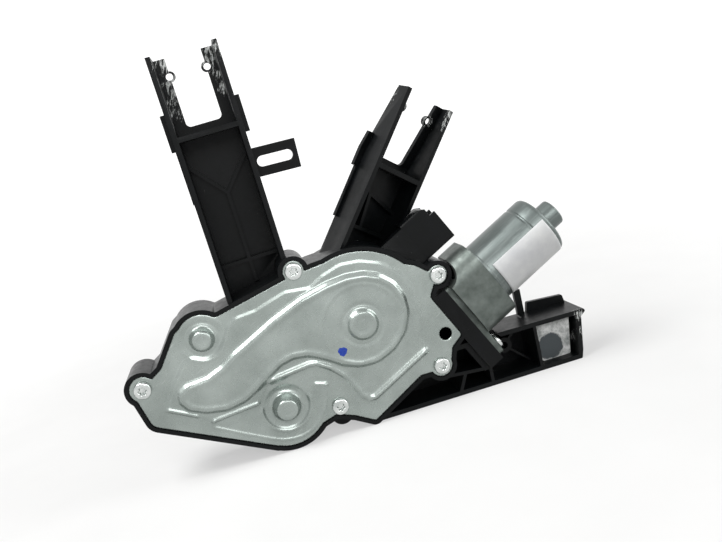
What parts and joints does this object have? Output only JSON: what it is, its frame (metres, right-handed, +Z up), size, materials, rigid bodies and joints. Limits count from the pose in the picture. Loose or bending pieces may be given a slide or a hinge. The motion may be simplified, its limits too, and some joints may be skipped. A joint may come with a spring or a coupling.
{
  "type": "wiper motor",
  "caption": "Rear wiper motor: black moulded gear housing with three forked arms, pressed cover, side motor and an output shaft at the back.",
  "frame": {"origin": "on the output shaft's axis, at the end face of the housing's nose", "axes": "+Y along the output shaft, the way it leaves; +Z up as the unit stands on its lower rim and lower arm; +X along the housing towards the motor"},
  "size_m": [0.2454, 0.0703, 0.2083],
  "materials": {
    "black_plastic": "black glass-filled moulding, satin",
    "zinc_steel": "zinc-coated pressed steel, satin",
    "screw_steel": "bright zinc",
    "cast_metal": "die-cast, as cast",
    "can_steel": "drawn steel, dull zinc",
    "label": "plain film",
    "bright_steel": "ground",
    "nylon": "natural acetal",
    "lever_steel": "pressed steel",
    "bronze": "sintered bronze",
    "rubber": "matt",
    "copper": "enamelled copper",
    "ferrite": "sintered ferrite",
    "carbon": "carbon",
    "worn_block": "worn grey damping block"
  },
  "bodies": {
    "housing": {"gear_housing": "black_plastic", "housing_gasket": "rubber", "cover_plate": "zinc_steel", "cover_screws": "screw_steel", "wheel_axle": "bright_steel", "wheel_clip": "lever_steel", "sector_shaft": "bright_steel", "output_bushes": "bronze", "shaft_seal": "rubber", "motor_adaptor": "cast_metal", "adaptor_screws": "screw_steel", "adaptor_bearing": "bronze", "motor_can": "can_steel", "can_bearing": "bronze", "can_label": "label", "magnets": "ferrite", "thrust_pad": "nylon", "brush_card": "black_plastic", "brush_holders": "bronze", "brushes": "carbon", "brush_springs": "bright_steel", "connector_socket": "black_plastic", "connector_terminals": "bronze", "fork_insert": "worn_block"},
    "armature": {"armature_shaft": "bright_steel", "armature_core": "lever_steel", "armature_windings": "copper", "commutator": "copper"},
    "wheel": {"worm_wheel": "nylon", "crank_pin": "bright_steel"},
    "rod": {"connecting_rod": "lever_steel"},
    "sector": {"sector_lever": "lever_steel", "lever_pin": "bright_steel"},
    "output": {"output_gear": "lever_steel", "output_shaft": "bright_steel", "output_clip": "lever_steel"}
  },
  "joints": [
    {"name": "armature_spin", "type": "hinge", "parent": "housing", "child": "armature", "pos_m": [0.06249, -0.027, 0.0043], "axis": [0.8886, 0, 0.4587], "continuous": true},
    {"name": "wheel_spin", "type": "hinge", "parent": "housing", "child": "wheel", "pos_m": [0.0485, -0.027, 0.0314], "axis": [0, -1, 0], "continuous": true},
    {"name": "rod_turn", "type": "hinge", "parent": "wheel", "child": "rod", "pos_m": [0.03857, -0.0347, 0.0302], "axis": [0, -1, 0], "continuous": true},
    {"name": "sector_swing", "type": "hinge", "parent": "housing", "child": "sector", "pos_m": [-0.0312, -0.0293, 0.0465], "axis": [0, -1, 0], "range_deg": [0, 41.4]},
    {"name": "output_spin", "type": "hinge", "parent": "housing", "child": "output", "pos_m": [0, -0.0293, 0], "axis": [0, -1, 0], "range_deg": [-103.5, 0]}
  ],
  "couplings": [
    {"joint": "wheel_spin", "follows": "armature_spin", "ratio": -0.029412},
    {"joint": "rod_turn", "follows": "armature_spin", "ratio": 0.029412},
    {"joint": "output_spin", "follows": "sector_swing", "ratio": -2.5}
  ]
}
